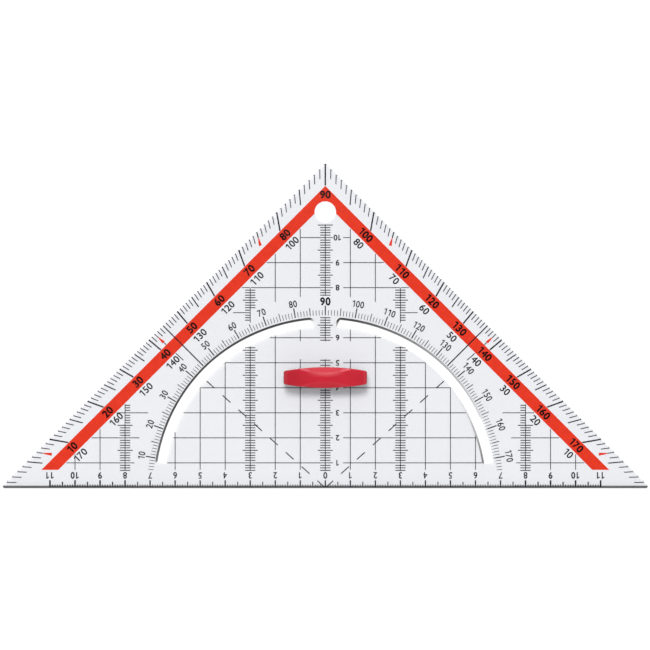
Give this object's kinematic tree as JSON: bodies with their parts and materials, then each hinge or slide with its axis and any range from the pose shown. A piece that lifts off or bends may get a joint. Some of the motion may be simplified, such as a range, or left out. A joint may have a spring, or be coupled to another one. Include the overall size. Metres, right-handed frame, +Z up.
{
  "type": "geometry triangle",
  "caption": "Clear right-angled geometry triangle with arc slots, hanging hole, printed protractor, rules and grid on its underside, and a push-fitted grip that pulls off.",
  "frame": {"origin": "zero point of the scales: middle of the ruling edge, on the underside of the clear sheet", "axes": "+X along the ruling edge to the right, +Y towards the right-angled corner, +Z up out of the sheet towards the grip"},
  "size_m": [0.2578, 0.1295, 0.012],
  "materials": {
    "clear_sheet": "polished clear",
    "grip_plastic": "moulded gloss",
    "red_print": "satin print",
    "black_print": "satin print"
  },
  "bodies": {
    "triangle": {"plate": "clear_sheet", "left_band": "red_print", "right_band": "red_print", "angle_markers": "red_print", "base_ticks": "black_print", "centre_rule": "black_print", "near_rules": "black_print", "far_rules": "black_print", "grid_lines": "black_print", "dashed_rays": "black_print", "arc_ticks": "black_print", "left_leg_ticks": "black_print", "right_leg_ticks": "black_print", "ray_lines": "black_print"},
    "handle": {"grip": "grip_plastic"}
  },
  "joints": [
    {"name": "grip_pull", "type": "slide", "parent": "triangle", "child": "handle", "axis": [0, 0, 1], "range_m": [0, 0.02]}
  ]
}
